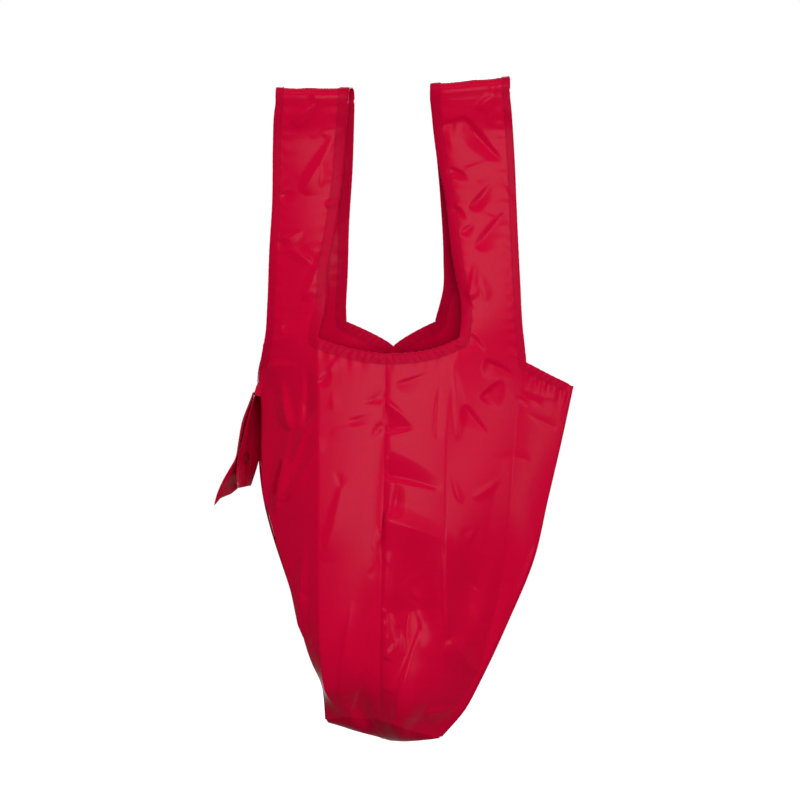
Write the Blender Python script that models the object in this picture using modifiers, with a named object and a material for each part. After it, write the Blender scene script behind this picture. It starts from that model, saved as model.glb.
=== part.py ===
"""Foldable tote bag hung by its two handles: pleated panels, bindings, seams, handles, closure band."""

import math

import bmesh
import bpy
from mathutils import Matrix, Vector

MM = 0.001

# Cloth, tape and clearances
CLOTH = 0.8 * MM
TAPE = 0.5 * MM
TAPE_CLEARANCE = 0.6 * MM
BINDING_WIDTH = 9 * MM
SEAM_WIDTH = 7 * MM
SEAM_GAP = 0.4 * MM
CLOTH_HINGE_GAP = 0.9 * MM
TAPE_HINGE_GAP = 2.4 * MM

# Heights below the hang point, which is level with the handle tops
HINGE_Z = -197 * MM
FRONT_NECK_Z = -234 * MM
BACK_NECK_Z = -223 * MM
FRONT_NECK_DIP_Z = -244 * MM
BACK_NECK_DIP_Z = -246 * MM
TIP_Z = -276 * MM
BELLY_Z = -383 * MM
TAPER_Z = -476 * MM
LOW_Z = -560 * MM

# Base plane: its ends on the side seams, and how far the back edge drops below the front
BASE_LEFT = Vector((-57, 0, -588)) * MM
BASE_RIGHT = Vector((47, 0, -604)) * MM
BASE_DROP = 0.57
BASE_SPAN = 35 * MM
BASE_SEAM_X = 16 * MM

# Handles: leg spacing, lean of the right hinge line, and the fold over the hand
LEG_Y = 14 * MM
RIGHT_HINGE_LEAN = math.radians(5.7)
TOP_RADIUS = LEG_Y
LEFT_TOP_Z = 0.0
RIGHT_TOP_Z = 7 * MM
LEFT_TOP_FRONT = (-106 * MM, -36 * MM)
LEFT_TOP_BACK = (-102 * MM, -32 * MM)
RIGHT_TOP_FRONT = (39 * MM, 112 * MM)
RIGHT_TOP_BACK = (40 * MM, 113 * MM)

# Closure band on the left tip
BAND_WIDTH = 44 * MM
BAND_ROOT = Vector((-128, 18, -286)) * MM
BAND_SNAP_DROP = 60 * MM
BAND_LENGTH = 100 * MM
BAND_LEAN = math.radians(6)
BAND_TWIST = math.radians(20)
BAND_BOW = 3 * MM
BAND_FLARE = 13 * MM
BAND_SPACING = 2.6 * MM
ANCHOR_HEIGHT = 9 * MM
ANCHOR_THICKNESS = 4 * MM

# Press stud
SNAP_RADIUS = 5.5 * MM
SNAP_CAP_HEIGHT = 1.2 * MM
SNAP_STEM_RADIUS = 1.3 * MM
SNAP_HOLE_RADIUS = 1.8 * MM
SNAP_BORE_RADIUS = 2.4 * MM
SNAP_STUD_RADIUS = 1.8 * MM

# Plan of the pleat lines at each height, in millimetres: left seam to right seam along the front
FRONT_SECTIONS = (
    (HINGE_Z, ((-121, 44), (-111.5, -14), (-58.5, -14), (-3, -30), (69, -14), (123.5, -14), (171, 4))),
    (FRONT_NECK_Z, ((-121, 44), (-115, -6), (-65, -24), (-3, -31), (66, -22), (124, -14), (171, 4))),
    (TIP_Z, ((-121, 44), (-119, 4), (-65, -30), (-3, -33), (60, -28), (125, -14), (171, 4))),
    (BELLY_Z, ((-114, 36), (-115, -6), (-65, -38), (-4, -44), (53, -36), (120, -20), (147, 2))),
    (TAPER_Z, ((-86, 24), (-88, -8), (-65, -36), (-6, -40), (54, -34), (100, -18), (118, 0))),
    (LOW_Z, ((-59, 10), (-60, -6), (-51, -26), (-8, -28), (44, -24), (71, -10), (80, 0))),
    (None, ((-56, 3), (-57, -3), (-42, -14), (-8, -19), (25, -13), (38, -6), (47, 0))),
)

# The same along the back
BACK_SECTIONS = (
    (HINGE_Z, ((-121, 44), (-96, 14), (-39.5, 14), (6, 36), (49, 14), (107, 14), (171, 4))),
    (BACK_NECK_Z, ((-121, 44), (-94, 19), (-38, 22), (6, 37), (47, 22), (110, 15), (171, 4))),
    (TIP_Z, ((-121, 44), (-93, 26), (-40, 28), (6, 38), (50, 28), (112, 14), (171, 4))),
    (BELLY_Z, ((-114, 36), (-91, 30), (-45, 36), (5, 40), (48, 34), (109, 18), (147, 2))),
    (TAPER_Z, ((-86, 24), (-71, 26), (-37, 34), (5, 38), (45, 30), (86, 16), (118, 0))),
    (LOW_Z, ((-59, 10), (-50, 14), (-28, 22), (8, 28), (37, 20), (60, 10), (80, 0))),
    (None, ((-56, 3), (-50, 8), (-26, 16), (16, 20), (30, 13), (41, 6), (47, 0))),
)

# Pleat lines by their place in a section
LEFT_SEAM, LEFT_OUTER, LEFT_INNER, CENTRE, RIGHT_INNER, RIGHT_OUTER, RIGHT_SEAM = range(7)


def clear_scene():
    for item in list(bpy.data.objects):
        bpy.data.objects.remove(item, do_unlink=True)


def make_collection(name):
    group = bpy.data.collections.new(name)
    bpy.context.scene.collection.children.link(group)
    return group


def make_material(name, colour, roughness, metallic=0.0):
    material = bpy.data.materials.new(name)
    material.use_nodes = True
    shader = material.node_tree.nodes["Principled BSDF"]
    shader.inputs["Base Color"].default_value = (*colour, 1.0)
    shader.inputs["Roughness"].default_value = roughness
    shader.inputs["Metallic"].default_value = metallic
    return material


def base_height(x, y):
    """Height of the tilted base plane under a plan point."""
    along = (x - BASE_LEFT.x) / (BASE_RIGHT.x - BASE_LEFT.x)
    return BASE_LEFT.z + (BASE_RIGHT.z - BASE_LEFT.z) * along - BASE_DROP * y


def smooth_through(knots, values, at):
    """Smooth curve through values at falling, unevenly spaced knots."""
    last = len(knots) - 1
    index = max(i for i in range(last) if i == 0 or at <= knots[i])
    slopes = []
    for i in (index, index + 1):
        before = max(i - 1, 0)
        after = min(i + 1, last)
        slopes.append((values[after] - values[before]) / (knots[after] - knots[before]))
    span = knots[index + 1] - knots[index]
    t = (at - knots[index]) / span
    start, end = values[index], values[index + 1]
    bend = (1 - t) * (start + slopes[0] * span * t) + t * (end - slopes[1] * span * (1 - t))
    return bend + t * (1 - t) * (2 * t - 1) * (end - start)


class Side:
    """One side of the bag: pleat lines joined by flat strips."""

    def __init__(self, sections):
        self.heights = [LOW_Z - BASE_SPAN if z is None else z for z, _ in sections]
        self.lines = []
        for k in range(RIGHT_SEAM + 1):
            self.lines.append([Vector(plan[k]) * MM for _, plan in sections])

    def on_line(self, k, height):
        points = self.lines[k]
        x = smooth_through(self.heights, [p.x for p in points], height)
        y = smooth_through(self.heights, [p.y for p in points], height)
        z = height
        if height < LOW_Z:
            foot = base_height(points[-1].x, points[-1].y)
            z = LOW_Z + (foot - LOW_Z) * (LOW_Z - height) / BASE_SPAN
        return Vector((x, y, z))

    def point(self, u, height):
        k = min(int(u), RIGHT_SEAM - 1)
        return self.on_line(k, height).lerp(self.on_line(k + 1, height), u - k)


class Flat:
    """A ruled sheet between two straight edges, or bent over a half round."""

    def __init__(self, lower, upper):
        self.lower = lower
        self.upper = upper

    def point(self, u, v):
        low = self.lower[0].lerp(self.lower[1], u)
        high = self.upper[0].lerp(self.upper[1], u)
        return low.lerp(high, v)


class Fold:
    """Half-round sheet from the front leg's end over to the back leg's end."""

    def __init__(self, front, back):
        self.front = front
        self.back = back

    def point(self, u, v):
        front = self.front[0].lerp(self.front[1], u)
        back = self.back[0].lerp(self.back[1], u)
        swing = front.lerp(back, (1 - math.cos(math.pi * v)) / 2)
        return swing + Vector((0, 0, TOP_RADIUS * math.sin(math.pi * v)))


def frame_at(sheet, a, b):
    """Point and normal of a sheet."""
    step = 1e-4
    along_a = (sheet.point(a + step, b) - sheet.point(a - step, b)) / (2 * step)
    along_b = (sheet.point(a, b + step) - sheet.point(a, b - step)) / (2 * step)
    return sheet.point(a, b), along_a.cross(along_b).normalized()


def add_object(name, data, material, group, pivot=None):
    item = bpy.data.objects.new(name, data)
    data.materials.append(material)
    group.objects.link(item)
    if pivot is not None:
        data.transform(Matrix.Translation(-pivot.location))
        item.parent = pivot
    return item


def add_pivot(name, location, group, parent=None):
    pivot = bpy.data.objects.new(name, None)
    pivot.empty_display_size = 0.02
    pivot.location = location
    group.objects.link(pivot)
    if parent is not None:
        pivot.parent = parent
        pivot.location = Vector(location) - parent.location
    return pivot


def solidify(item, thickness, offset=0.0):
    shell = item.modifiers.new("Thickness", "SOLIDIFY")
    shell.thickness = thickness
    shell.offset = offset
    shell.use_even_offset = True


def mesh_of_blocks(name, blocks):
    """One surface from grids of points, welded where the grids meet."""
    surface = bmesh.new()
    for rows in blocks:
        grid = [[surface.verts.new(p) for p in row] for row in rows]
        for low, high in zip(grid, grid[1:]):
            for i in range(len(low) - 1):
                surface.faces.new((low[i], low[i + 1], high[i + 1], high[i]))
    bmesh.ops.remove_doubles(surface, verts=surface.verts, dist=1e-6)
    mesh = bpy.data.meshes.new(name)
    surface.to_mesh(mesh)
    surface.free()
    return mesh


def spread(start, end, count):
    return [start + (end - start) * i / count for i in range(count + 1)]


def armhole(fraction):
    """Rise of the side edge from the tip (0) to the shoulder (1), turning upright at the shoulder."""
    return 1 - (1 - fraction ** 3) ** (1 / 3)


class Outline:
    """Top edge of one side, from tip to neck, for a left or a right half."""

    def __init__(self, neck_z, dip_z, dip_power):
        self.neck_z = neck_z
        self.dip_z = dip_z
        self.dip_power = dip_power

    def top(self, u):
        u = min(u, RIGHT_SEAM - u)
        if u < LEFT_OUTER:
            return TIP_Z + (self.neck_z - TIP_Z) * armhole(u)
        if u <= LEFT_INNER:
            return self.neck_z
        across = max(CENTRE - u, 0.0)
        return self.dip_z + (self.neck_z - self.dip_z) * across ** self.dip_power


FRONT = Side(FRONT_SECTIONS)
BACK = Side(BACK_SECTIONS)
FRONT_EDGE = Outline(FRONT_NECK_Z, FRONT_NECK_DIP_Z, 2.0)
BACK_EDGE = Outline(BACK_NECK_Z, BACK_NECK_DIP_Z, 1.2)
FLOOR_HEIGHT = LOW_Z - BASE_SPAN
PANEL_FLOOR = FLOOR_HEIGHT + 1.2 * MM

# Where a panel stops short of the side seam, and of the centre seam in strips
SIDE_STOP = 2.2 * MM
CENTRE_STOP = 0.004

# Places across a gusset half from the tip to the shoulder, closer where the edge turns upright
GUSSET_PLACES = (0.0, 0.3, 0.5, 0.66, 0.78, 0.87, 0.93, 0.97, 0.99)

# Length of a gusset half left unbound at the tip
TIP_BARE = 0.17

# Turn of a side binding into the shoulder: rise of its edge, and its rim across and down
CORNER_FAN = ((0.5 * MM, 0.05, 8 * MM), (1.5 * MM, 0.11, 6 * MM), (2.5 * MM, 0.16, 2 * MM))

# Rows of a panel crowd towards its bound edge
ROW_CROWDING = 1.6

# How far a place beside a pleat line sits within its own strip
STRIP_NUDGE = 0.004


def shoulder_top(u):
    """Hinge line at a handle's foot, slanted on the right."""
    if u < CENTRE:
        return HINGE_Z
    return HINGE_Z + (u - RIGHT_INNER - 0.5) * 54 * MM * math.tan(RIGHT_HINGE_LEAN)


def mirrored(u, right):
    return RIGHT_SEAM - u if right else u


def beside_seam(side, u, height, right):
    """Place in a gusset half, pressed in so that the cloth stops short of the side seam."""
    k = mirrored(LEFT_SEAM, right)
    near = mirrored(LEFT_OUTER, right)
    stop = SIDE_STOP / (side.on_line(k, height) - side.on_line(near, height)).length
    return stop + (1 - stop) * u


def make_panel(name, side, edge, right, material, group):
    """A quarter of the bag body with the shoulder its handle leg stands on."""
    shoulder = spread(LEFT_OUTER, LEFT_INNER, 6)
    neck = spread(LEFT_INNER, CENTRE - CENTRE_STOP, 6)[1:]
    body = []
    for depth in spread(1, 0, 15):
        row = []
        evened = min(max(3 * depth - 0.6, 0), 1)
        for i, s in enumerate(GUSSET_PLACES + tuple(shoulder + neck)):
            height = edge.top(s) + (PANEL_FLOOR - edge.top(s)) * depth ** ROW_CROWDING
            if s < LEFT_OUTER:
                s += (i / len(GUSSET_PLACES) - s) * evened
                s = beside_seam(side, s, height, right)
            row.append(side.point(mirrored(s, right), height))
        body.append(row)
    rise = []
    for step in spread(0, 1, 5):
        row = []
        for u in (mirrored(s, right) for s in shoulder):
            top = shoulder_top(u) - CLOTH_HINGE_GAP
            row.append(side.point(u, edge.neck_z + (top - edge.neck_z) * step))
        rise.append(row)
    panel = add_object(name, mesh_of_blocks(name, (body, rise)), material, group)
    solidify(panel, CLOTH)
    return panel


def make_binding(name, sheet, path, sign, material, group, pivot=None):
    """Tape folded over a cloth edge; the path pairs edge places with places under the tape's inner rim."""
    reach = CLOTH / 2 + TAPE_CLEARANCE + TAPE / 2
    edge = [sheet.point(*place) for place, _ in path]
    grid = []
    for i, (place, rim) in enumerate(path):
        point, normal = frame_at(sheet, *place)
        run = (edge[min(i + 1, len(edge) - 1)] - edge[max(i - 1, 0)]).normalized()
        lip = point + normal.cross(run).normalized() * reach * sign
        middle = ((place[0] + rim[0]) / 2, (place[1] + rim[1]) / 2)
        outside = [p + n * reach for p, n in (frame_at(sheet, *rim), frame_at(sheet, *middle))]
        inside = [p - n * reach for p, n in (frame_at(sheet, *middle), frame_at(sheet, *rim))]
        grid.append(outside + [lip + normal * reach, lip - normal * reach] + inside)
    item = add_object(name, mesh_of_blocks(name, (grid,)), material, group, pivot)
    solidify(item, TAPE)
    return item


def shoulder_run(side, edge, u, inward, heights):
    """Edge places up a shoulder, with the rim one tape width across the shoulder."""
    across = (side.point(u + inward, edge.neck_z) - side.point(u, edge.neck_z)).length
    return [((u, z), (u + inward * BINDING_WIDTH / across, z)) for z in heights]


def neck_path(side, edge):
    """Edge of one side from the left hinge round the neck to the right hinge."""
    runs = []
    for k, inward in ((LEFT_INNER, -1), (RIGHT_INNER, 1)):
        u = k + inward * STRIP_NUDGE
        heights = spread(shoulder_top(k) - TAPE_HINGE_GAP, edge.neck_z + 5 * MM, 6)
        corner = ((k, edge.neck_z + 1.5 * MM), (k, edge.neck_z - BINDING_WIDTH))
        runs.append(shoulder_run(side, edge, u, inward, heights) + [corner])
    dip = []
    for u in spread(LEFT_INNER + 0.08, RIGHT_INNER - 0.08, 14):
        dip.append(((u, edge.top(u)), (u, edge.top(u) - BINDING_WIDTH)))
    return runs[0] + dip + runs[1][::-1]


def side_path(side, edge, right):
    """Edge of one side from a tip up to the hinge line at the handle's outer edge."""
    path = []
    for s in (TIP_BARE,) + GUSSET_PLACES[1:] + (LEFT_OUTER,):
        height = edge.top(s)
        u = mirrored(beside_seam(side, s, height, right), right)
        path.append(((u, height), (u, height - BINDING_WIDTH)))
    k = mirrored(LEFT_OUTER, right)
    inward = -1 if right else 1
    u = k + inward * STRIP_NUDGE
    for rise, across, drop in CORNER_FAN:
        path.append(((u, edge.neck_z + rise), (k + inward * across, edge.neck_z - drop)))
    heights = spread(edge.neck_z + 4 * MM, shoulder_top(k) - TAPE_HINGE_GAP, 6)
    return path + shoulder_run(side, edge, u, inward, heights)


def make_centre_seam(name, side, edge, material, group, inside):
    """Felled allowance lying inside along the centre line."""
    offset = CLOTH / 2 + TAPE_CLEARANCE * 1.5 + TAPE / 2
    top = edge.top(CENTRE) - BINDING_WIDTH - 4 * MM
    rows = []
    for depth in spread(1, 0, 15):
        height = top + (PANEL_FLOOR + 4 * MM - top) * depth ** ROW_CROWDING
        normal = frame_at(side, CENTRE - 0.05, height)[1]
        centre = side.point(CENTRE, height)
        across = (centre - side.point(CENTRE - 0.1, height)).normalized()
        lift = normal * offset * inside
        rows.append([centre - across * SEAM_WIDTH + lift, centre - across * 0.5 * MM + lift])
    seam = add_object(name, mesh_of_blocks(name, (rows,)), material, group)
    solidify(seam, TAPE)
    return seam


def make_side_seam(name, k, material, group):
    """Turned allowance standing out along a side seam."""
    outward = -1 if k == LEFT_SEAM else 1
    rows = []
    neighbour = LEFT_OUTER if k == LEFT_SEAM else RIGHT_OUTER
    for height in spread(PANEL_FLOOR + 3 * MM, TIP_Z - 4 * MM, 12):
        line = FRONT.on_line(k, height)
        middle = FRONT.on_line(neighbour, height).lerp(BACK.on_line(neighbour, height), 0.5)
        out = (line - middle).normalized()
        rows.append([line - out * 0.6 * MM, line + out * 2.4 * MM])
    seam = add_object(name, mesh_of_blocks(name, (rows,)), material, group)
    solidify(seam, TAPE * 2)
    return seam


def base_corners():
    """Base outline round the front and the back, pushed out to cover the panel ends."""
    front = [FRONT.on_line(k, FLOOR_HEIGHT) for k in range(RIGHT_SEAM + 1)]
    back = [BACK.on_line(k, FLOOR_HEIGHT) for k in range(RIGHT_SEAM - 1, LEFT_SEAM, -1)]
    return front, back


def base_side_point(points, x):
    """Point at a given x on a run of base corners."""
    for a, b in zip(points, points[1:]):
        if (a.x - x) * (b.x - x) <= 0:
            return a.lerp(b, (x - a.x) / (b.x - a.x))
    return points[-1]


def make_base(name, right, material, group):
    """Half of the flat base, cut at the base seam."""
    front, back = base_corners()
    back_run = [front[-1]] + back + [front[0]]
    seam_x = BASE_SEAM_X + (SEAM_GAP if right else -SEAM_GAP) / 2
    keep = [p for p in front + back if (p.x > seam_x) == right]
    cut = [base_side_point(front, seam_x), base_side_point(back_run, seam_x)]
    middle = (BASE_LEFT + BASE_RIGHT) / 2
    ring = sorted(keep + cut, key=lambda p: math.atan2((p.y - middle.y) * 2.5, p.x - middle.x - 0.0))
    grown = []
    for p in ring:
        away = Vector((p.x - middle.x, p.y, 0)).normalized() * 0.8 * MM
        if abs(p.x - seam_x) < 1e-6:
            away.x = 0
        q = p + away
        grown.append(Vector((q.x, q.y, base_height(q.x, q.y))))
    mesh = bpy.data.meshes.new(name)
    mesh.from_pydata(grown, [], [list(range(len(grown)))])
    item = add_object(name, mesh, material, group)
    solidify(item, CLOTH, -1.0)
    return item


def make_base_seam(name, material, group):
    """Allowance lying on the base, inside the bag, over its seam."""
    front, back = base_corners()
    back_run = [front[-1]] + back + [front[0]]
    near = base_side_point(front, BASE_SEAM_X)
    far = base_side_point(back_run, BASE_SEAM_X)
    lift = Vector((0, 0, TAPE / 2 + 0.3 * MM))
    rows = []
    for t in (0.14, 0.86):
        middle = near.lerp(far, t) + lift
        row = []
        for x in (-SEAM_WIDTH / 2, SEAM_WIDTH / 2):
            place = middle + Vector((x, 0, 0))
            place.z = base_height(place.x, place.y) + lift.z
            row.append(place)
        rows.append(row)
    seam = add_object(name, mesh_of_blocks(name, (rows,)), material, group)
    solidify(seam, TAPE)
    return seam


def leg_corners(side, right, y, top_x, top_z):
    """Foot and head lines of a handle leg, each from its left end to its right end."""
    inner, outer = (RIGHT_INNER, RIGHT_OUTER) if right else (LEFT_INNER, LEFT_OUTER)
    feet = []
    for k in sorted((inner, outer)):
        x = side.lines[k][0].x
        feet.append(Vector((x, y, shoulder_top(k))))
    lean = math.tan(RIGHT_HINGE_LEAN) if right else 0.0
    heads = []
    for x in top_x:
        middle = (top_x[0] + top_x[1]) / 2
        heads.append(Vector((x, y, top_z - TOP_RADIUS + (x - middle) * lean)))
    return feet, heads


def bind_edges(name, sheet, places, tape, group, pivot, left):
    """Bindings on the two long edges of a handle piece."""
    for u, inward in ((0, 1), (1, -1)):
        kind = "outer" if (u == 0) == left else "inner"
        width = (sheet.point(1, 0.5) - sheet.point(0, 0.5)).length
        rim = u + inward * BINDING_WIDTH / width
        path = [((u, v), (rim, v)) for v in places]
        make_binding(f"{name}_{kind}_binding", sheet, path, inward, tape, group, pivot)


def make_leg(name, feet, heads, material, tape, group, pivot, left):
    """Handle leg with a bound edge on each side."""
    length = (heads[0] - feet[0]).length
    sheet = Flat(feet, heads)
    cut = CLOTH_HINGE_GAP / length
    rows = [[sheet.point(u, v) for u in (0, 1)] for v in (cut, 1 - cut)]
    leg = add_object(name, mesh_of_blocks(name, (rows,)), material, group, pivot)
    solidify(leg, CLOTH)
    tape_cut = TAPE_HINGE_GAP / length
    bind_edges(name, sheet, spread(tape_cut, 1 - tape_cut, 1), tape, group, pivot, left)


def make_top(name, front, back, material, tape, group, pivot, left):
    """Half-round fold between the two legs of a handle, with its bound edges."""
    sheet = Fold(front, back)
    half_round = math.pi * TOP_RADIUS
    cut = CLOTH_HINGE_GAP / half_round
    rows = [[sheet.point(u, v) for u in (0, 1)] for v in spread(cut, 1 - cut, 14)]
    top = add_object(name, mesh_of_blocks(name, (rows,)), material, group, pivot)
    solidify(top, CLOTH)
    tape_cut = TAPE_HINGE_GAP / half_round
    bind_edges(name, sheet, spread(tape_cut, 1 - tape_cut, 14), tape, group, pivot, left)


def make_handle(name, right, front_x, back_x, top_z, material, tape, group):
    """Front leg, back leg and the fold between them, each on its own hinge."""
    feet, heads = leg_corners(FRONT, right, -LEG_Y, front_x, top_z)
    back_feet, back_heads = leg_corners(BACK, right, LEG_Y, back_x, top_z)
    front_pivot = add_pivot(f"{name}_front_pivot", (feet[0] + feet[1]) / 2, group)
    back_pivot = add_pivot(f"{name}_back_pivot", (back_feet[0] + back_feet[1]) / 2, group)
    top_pivot = add_pivot(f"{name}_top_pivot", (heads[0] + heads[1]) / 2, group)
    make_leg(f"{name}_front", feet, heads, material, tape, group, front_pivot, not right)
    make_leg(f"{name}_back", back_feet, back_heads, material, tape, group, back_pivot, not right)
    make_top(f"{name}_top", heads, back_heads, material, tape, group, top_pivot, not right)


def band_point(along, across, outer):
    """Place on a closure band: along from its root to its end, across its width."""
    drop = along * BAND_LENGTH
    to_snap = min(drop / BAND_SNAP_DROP, 1.0)
    past = max(drop - BAND_SNAP_DROP, 0.0) / (BAND_LENGTH - BAND_SNAP_DROP)
    apart = BAND_SPACING / 2
    if outer:
        apart += BAND_BOW * math.sin(math.pi * to_snap) ** 2 + BAND_FLARE * past ** 2.2
    else:
        apart += BAND_FLARE * 0.35 * past ** 2.2
    turn = BAND_TWIST * (1 - (1 - to_snap) ** 2)
    width = Vector((math.sin(turn), math.cos(turn), 0))
    normal = Vector((math.cos(turn), -math.sin(turn), 0))
    centre = BAND_ROOT + Vector((-drop * math.tan(BAND_LEAN), 0, -drop))
    return centre + width * across * BAND_WIDTH + normal * (-apart if outer else apart)


def make_band(name, outer, material, group, pivot):
    rows = []
    for along in spread(0.02, 1, 18):
        rows.append([band_point(along, across, outer) for across in spread(-0.5, 0.5, 6)])
    band = add_object(name, mesh_of_blocks(name, (rows,)), material, group, pivot)
    solidify(band, CLOTH)
    return band


def snap_frame():
    """Turn that points a local Z axis out through both bands at the snap."""
    down = Vector((-math.tan(BAND_LEAN), 0, -1))
    out = down.cross(Vector((math.sin(BAND_TWIST), math.cos(BAND_TWIST), 0)))
    if out.x > 0:
        out.negate()
    place = BAND_ROOT + Vector((-BAND_SNAP_DROP * math.tan(BAND_LEAN), 0, -BAND_SNAP_DROP))
    return Matrix.Translation(place) @ out.to_track_quat("Z", "Y").to_matrix().to_4x4()


def make_lathe(name, profile, material, group, pivot):
    """Round piece on the snap's axis, spun from a closed half profile of radius and height."""
    surface = bmesh.new()
    ring = [surface.verts.new((radius, 0, height)) for radius, height in profile]
    edges = [surface.edges.new((ring[i], ring[i + 1])) for i in range(len(ring) - 1)]
    if profile[0][0] > 0:
        edges.append(surface.edges.new((ring[-1], ring[0])))
    bmesh.ops.spin(surface, geom=ring + edges, axis=(0, 0, 1), cent=(0, 0, 0),
                   angle=math.tau, steps=24, use_merge=True)
    bmesh.ops.remove_doubles(surface, verts=surface.verts, dist=1e-7)
    bmesh.ops.recalc_face_normals(surface, faces=surface.faces)
    mesh = bpy.data.meshes.new(name)
    surface.to_mesh(mesh)
    surface.free()
    mesh.transform(snap_frame())
    return add_object(name, mesh, material, group, pivot)


def pierce(band, name, cutters):
    """Hole through a band for the snap's stem."""
    bpy.ops.mesh.primitive_cylinder_add(vertices=24, radius=SNAP_HOLE_RADIUS, depth=12 * MM)
    cutter = bpy.context.object
    cutter.name = name
    cutter.matrix_world = snap_frame()
    for group in list(cutter.users_collection):
        group.objects.unlink(cutter)
    cutters.objects.link(cutter)
    cutter.hide_render = True
    cutter.display_type = "WIRE"
    hole = band.modifiers.new("Snap hole", "BOOLEAN")
    hole.operation = "DIFFERENCE"
    hole.solver = "EXACT"
    hole.object = cutter


def make_snap(outer_pivot, inner_pivot, material, group):
    """Cap and socket on the outer band, stud and back ring on the inner band."""
    face = BAND_SPACING / 2 + CLOTH / 2 + 0.3 * MM
    back = BAND_SPACING / 2 - CLOTH / 2 - 0.3 * MM
    cap = ((0, face + SNAP_CAP_HEIGHT), (SNAP_RADIUS * 0.7, face + SNAP_CAP_HEIGHT * 0.85),
           (SNAP_RADIUS, face + SNAP_CAP_HEIGHT * 0.3), (SNAP_RADIUS, face),
           (SNAP_STEM_RADIUS, face), (SNAP_STEM_RADIUS, back + 0.3 * MM), (0, back + 0.3 * MM))
    make_lathe("snap_cap", cap, material, group, outer_pivot)
    ring = ((SNAP_BORE_RADIUS, back), (SNAP_RADIUS, back),
            (SNAP_RADIUS, 0.15 * MM), (SNAP_BORE_RADIUS, 0.15 * MM))
    make_lathe("snap_socket", ring, material, group, outer_pivot)
    stud = ((0, back - 0.1 * MM), (SNAP_STUD_RADIUS, back - 0.2 * MM), (SNAP_STUD_RADIUS, -0.15 * MM),
            (SNAP_RADIUS, -0.15 * MM), (SNAP_RADIUS, -back), (SNAP_STEM_RADIUS, -back),
            (SNAP_STEM_RADIUS, -face), (0, -face))
    make_lathe("snap_stud", stud, material, group, inner_pivot)
    plate = ((SNAP_STEM_RADIUS + 0.3 * MM, -face), (SNAP_RADIUS, -face),
             (SNAP_RADIUS, -face - 0.8 * MM), (SNAP_STEM_RADIUS + 0.3 * MM, -face - 0.8 * MM))
    make_lathe("snap_back_ring", plate, material, group, inner_pivot)


def make_anchor(name, material, group):
    """Folded tab sewn over the left side binding, where the closure band hangs."""
    bpy.ops.mesh.primitive_cube_add(size=1)
    anchor = bpy.context.object
    anchor.name = name
    anchor.scale = (ANCHOR_THICKNESS, BAND_WIDTH * 0.7, ANCHOR_HEIGHT)
    anchor.location = BAND_ROOT + Vector((3 * MM, 0, ANCHOR_HEIGHT / 2 + 0.6 * MM))
    anchor.data.materials.append(material)
    for holder in list(anchor.users_collection):
        holder.objects.unlink(anchor)
    group.objects.link(anchor)
    return anchor


def make_closure(material, metal, group, cutters):
    """Two closure bands on one root line, held together by a press stud."""
    make_anchor("closure_anchor", material, group)
    inner_pivot = add_pivot("closure_inner_pivot", BAND_ROOT, group)
    outer_pivot = add_pivot("closure_outer_pivot", BAND_ROOT, group)
    inner = make_band("closure_inner_band", False, material, group, inner_pivot)
    outer = make_band("closure_outer_band", True, material, group, outer_pivot)
    pierce(inner, "inner_snap_hole", cutters)
    pierce(outer, "outer_snap_hole", cutters)
    make_snap(outer_pivot, inner_pivot, metal, group)


def make_body(cloth, tape, group):
    make_panel("front_panel_left", FRONT, FRONT_EDGE, False, cloth, group)
    make_panel("front_panel_right", FRONT, FRONT_EDGE, True, cloth, group)
    make_panel("back_panel_left", BACK, BACK_EDGE, False, cloth, group)
    make_panel("back_panel_right", BACK, BACK_EDGE, True, cloth, group)
    make_centre_seam("front_centre_seam", FRONT, FRONT_EDGE, tape, group, -1)
    make_centre_seam("back_centre_seam", BACK, BACK_EDGE, tape, group, 1)
    make_side_seam("left_side_seam", LEFT_SEAM, tape, group)
    make_side_seam("right_side_seam", RIGHT_SEAM, tape, group)
    make_base("base_panel_left", False, cloth, group)
    make_base("base_panel_right", True, cloth, group)
    make_base_seam("base_seam", tape, group)
    make_binding("front_neck_binding", FRONT, neck_path(FRONT, FRONT_EDGE), 1, tape, group)
    make_binding("back_neck_binding", BACK, neck_path(BACK, BACK_EDGE), 1, tape, group)
    for right, word in ((False, "left"), (True, "right")):
        for side, edge, face in ((FRONT, FRONT_EDGE, "front"), (BACK, BACK_EDGE, "back")):
            path = side_path(side, edge, right)
            make_binding(f"{word}_{face}_side_binding", side, path, -1 if right else 1, tape, group)


def build():
    clear_scene()
    bag = make_collection("Foldable tote bag")
    cutters = make_collection("Cutters")
    cloth = make_material("Crimson taffeta", (0.50, 0.006, 0.032), 0.42)
    tape = make_material("Crimson binding", (0.44, 0.004, 0.027), 0.5)
    snap = make_material("Crimson snap", (0.36, 0.003, 0.02), 0.35)
    make_body(cloth, tape, bag)
    make_handle("left_handle", False, LEFT_TOP_FRONT, LEFT_TOP_BACK, LEFT_TOP_Z, cloth, tape, bag)
    make_handle("right_handle", True, RIGHT_TOP_FRONT, RIGHT_TOP_BACK, RIGHT_TOP_Z, cloth, tape, bag)
    make_closure(cloth, snap, bag, cutters)


build()
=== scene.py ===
import math

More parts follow.
